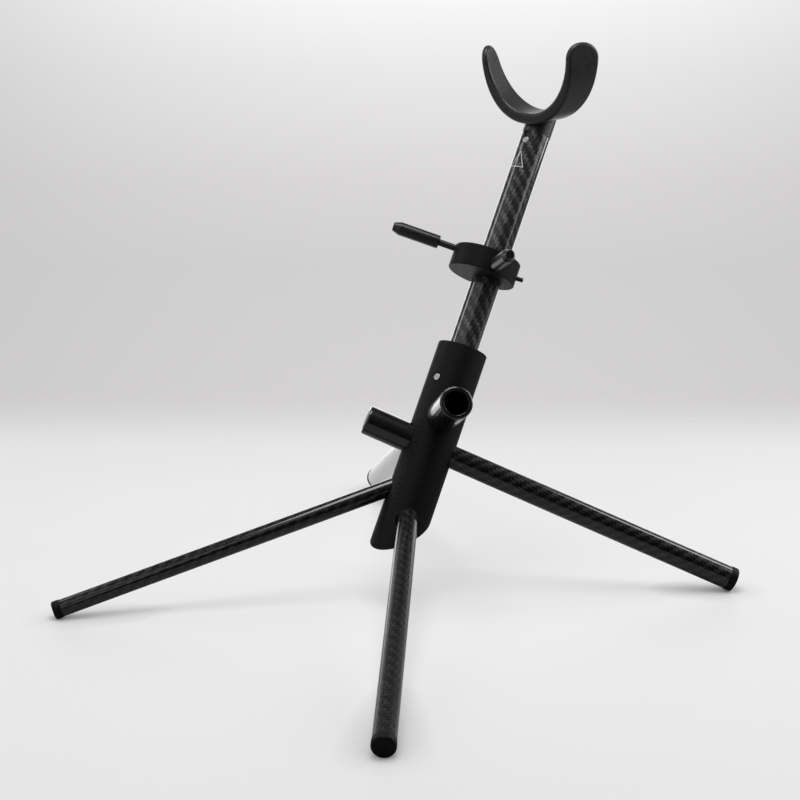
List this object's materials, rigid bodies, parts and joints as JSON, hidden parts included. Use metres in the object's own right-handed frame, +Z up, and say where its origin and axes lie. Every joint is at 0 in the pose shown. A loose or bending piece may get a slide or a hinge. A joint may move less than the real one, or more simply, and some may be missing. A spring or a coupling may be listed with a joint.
{
  "type": "saxophone stand",
  "caption": "Take-apart saxophone stand: leaning hub, four plug-in tube legs with rubber feet, mast, two-pin collar and a U cradle.",
  "frame": {"origin": "on the floor, at the middle of the stand's bounding box", "axes": "+Z up, +Y to the rear (the way the mast leans), +X to the stand's right seen from behind its front legs looking rearwards; the pegs and collar pins point to -Y"},
  "size_m": [0.4558, 0.5048, 0.4554],
  "materials": {
    "moulded_hub": "matte, fine grain",
    "carbon_tube": "clear-coated twill weave, gloss",
    "cradle_rubber": "satin, soft",
    "foot_rubber": "matte",
    "peg_gloss": "gloss",
    "pin_black": "semi-gloss black",
    "sleeve_rubber": "satin",
    "steel_pin": "polished end",
    "plug_plastic": "satin"
  },
  "bodies": {
    "base": {"hub": "moulded_hub", "hub_key_pin": "steel_pin", "peg_left": "peg_gloss", "peg_right": "peg_gloss"},
    "mast": {"mast_tube": "carbon_tube"},
    "cradle_top": {"cradle": "cradle_rubber", "cradle_plug": "plug_plastic", "cradle_key_pin": "steel_pin"},
    "pin_collar": {"collar": "moulded_hub", "pin_rod_left": "pin_black", "pin_rod_right": "pin_black", "pin_sleeve_left": "sleeve_rubber", "pin_sleeve_right": "sleeve_rubber"},
    "clamp_screw": {"collar_screw": "pin_black"},
    "leg_front_left": {"leg_front_left_tube": "carbon_tube", "leg_front_left_cap": "foot_rubber"},
    "leg_front_right": {"leg_front_right_tube": "carbon_tube", "leg_front_right_cap": "foot_rubber"},
    "leg_rear_left": {"leg_rear_left_tube": "carbon_tube", "leg_rear_left_cap": "foot_rubber"},
    "leg_rear_right": {"leg_rear_right_tube": "carbon_tube", "leg_rear_right_cap": "foot_rubber"}
  },
  "joints": [
    {"name": "mast_pull", "type": "slide", "parent": "base", "child": "mast", "axis": [0, 0.4939, 0.8695], "range_m": [0, 0.06]},
    {"name": "cradle_pull", "type": "slide", "parent": "mast", "child": "cradle_top", "axis": [0, 0.4939, 0.8695], "range_m": [0, 0.045]},
    {"name": "collar_slide", "type": "slide", "parent": "mast", "child": "pin_collar", "axis": [0, 0.4939, 0.8695], "range_m": [-0.055, 0.09]},
    {"name": "collar_screw_turn", "type": "hinge", "parent": "pin_collar", "child": "clamp_screw", "pos_m": [0.01819, 0.12082, 0.26346], "axis": [0.866, 0.4347, -0.247], "range_deg": [-180, 0]},
    {"name": "leg_front_left_pull", "type": "slide", "parent": "base", "child": "leg_front_left", "axis": [-0.5571, -0.7777, -0.2913], "range_m": [0, 0.045]},
    {"name": "leg_front_right_pull", "type": "slide", "parent": "base", "child": "leg_front_right", "axis": [0.5994, -0.7742, -0.2033], "range_m": [0, 0.045]},
    {"name": "leg_rear_left_pull", "type": "slide", "parent": "base", "child": "leg_rear_left", "axis": [-0.7153, 0.5712, -0.4027], "range_m": [0, 0.105]},
    {"name": "leg_rear_right_pull", "type": "slide", "parent": "base", "child": "leg_rear_right", "axis": [0.7153, 0.5712, -0.4027], "range_m": [0, 0.09]}
  ]
}
